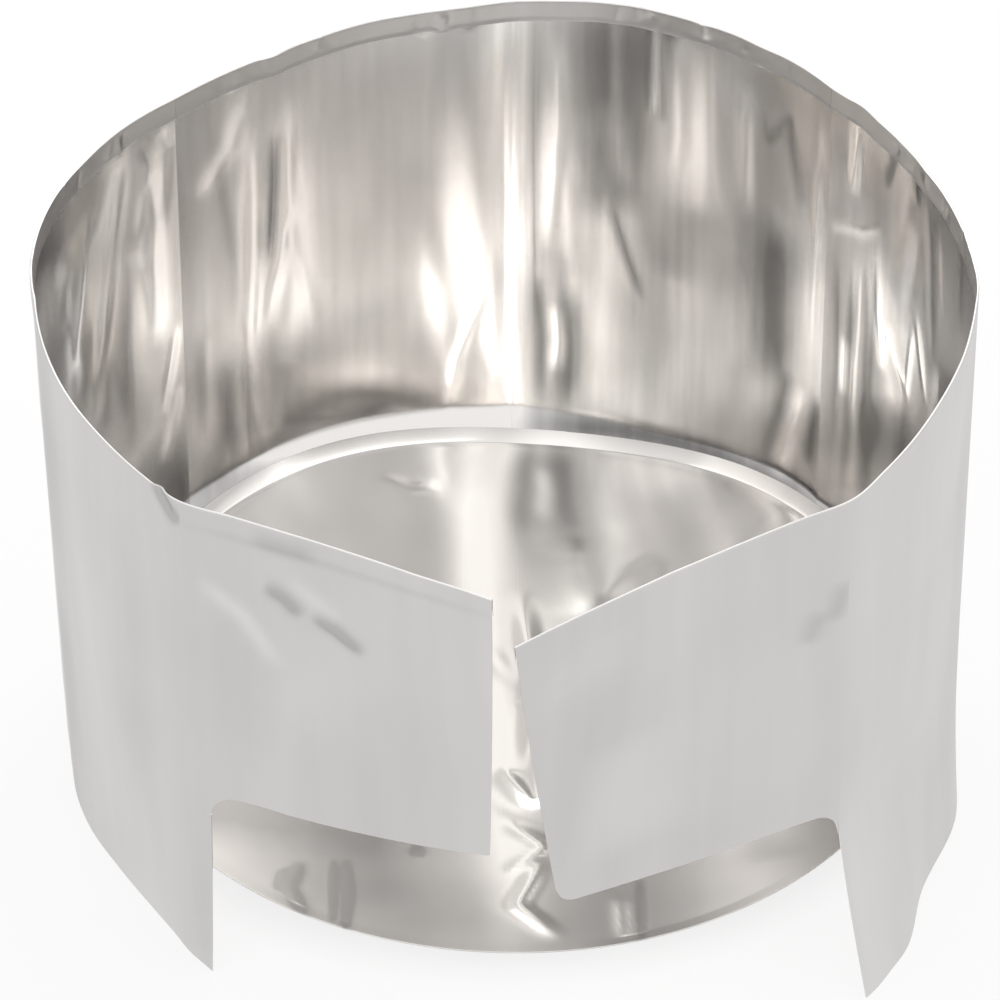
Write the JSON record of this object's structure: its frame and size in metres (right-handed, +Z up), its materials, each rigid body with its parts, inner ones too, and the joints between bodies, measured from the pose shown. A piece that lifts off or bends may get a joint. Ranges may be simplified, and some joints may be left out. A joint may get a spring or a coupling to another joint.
{
  "type": "stove windscreen",
  "caption": "Hemmed aluminium foil strip, creased into panels and bent into a ring with a cut-out under its front flaps, standing round a dished foil heat reflector.",
  "frame": {"origin": "centre of the ring that the wall is bent to, on the ground, on the underside of the heat reflector", "axes": "+Z up; -Y to the front, where the two flaps meet over the cut-out; +X to the right seen from the front"},
  "size_m": [0.2343, 0.2578, 0.15],
  "materials": {
    "screen_foil": "bright rolled foil, hand-creased",
    "reflector_foil": "bright rolled foil, pressed"
  },
  "bodies": {
    "left_flap": {"left_flap": "screen_foil"},
    "left_front_panel": {"left_front_panel": "screen_foil"},
    "left_side_panel": {"left_side_panel": "screen_foil"},
    "back_left_panel": {"back_left_panel": "screen_foil"},
    "back_right_panel": {"back_right_panel": "screen_foil"},
    "right_side_panel": {"right_side_panel": "screen_foil"},
    "right_front_panel": {"right_front_panel": "screen_foil"},
    "right_flap": {"right_flap": "screen_foil"},
    "heat_reflector": {"heat_reflector": "reflector_foil"}
  },
  "joints": [
    {"name": "back_fold", "type": "hinge", "parent": "back_left_panel", "child": "back_right_panel", "pos_m": [0.00313, 0.11946, 0.075], "axis": [0, 0, 1], "range_deg": [0, 52]},
    {"name": "back_right_fold", "type": "hinge", "parent": "back_right_panel", "child": "right_side_panel", "pos_m": [0.08557, 0.07979, 0.075], "axis": [0, 0, 1], "range_deg": [0, 43]},
    {"name": "right_fold", "type": "hinge", "parent": "right_side_panel", "child": "right_front_panel", "pos_m": [0.11793, -0.00412, 0.075], "axis": [0, 0, 1], "range_deg": [0, 43]},
    {"name": "right_flap_fold", "type": "hinge", "parent": "right_front_panel", "child": "right_flap", "pos_m": [0.0832, -0.08922, 0.075], "axis": [0, 0, 1], "range_deg": [-60, 100]},
    {"name": "back_left_fold", "type": "hinge", "parent": "back_left_panel", "child": "left_side_panel", "pos_m": [-0.0836, 0.07528, 0.075], "axis": [0, 0, -1], "range_deg": [0, 43]},
    {"name": "left_fold", "type": "hinge", "parent": "left_side_panel", "child": "left_front_panel", "pos_m": [-0.11456, -0.01002, 0.075], "axis": [0, 0, -1], "range_deg": [0, 45]},
    {"name": "left_flap_fold", "type": "hinge", "parent": "left_front_panel", "child": "left_flap", "pos_m": [-0.07553, -0.09001, 0.075], "axis": [0, 0, -1], "range_deg": [-60, 100]},
    {"name": "reflector_lift", "type": "slide", "parent": "back_left_panel", "child": "heat_reflector", "axis": [0, 0, 1], "range_m": [0, 0.17]}
  ]
}
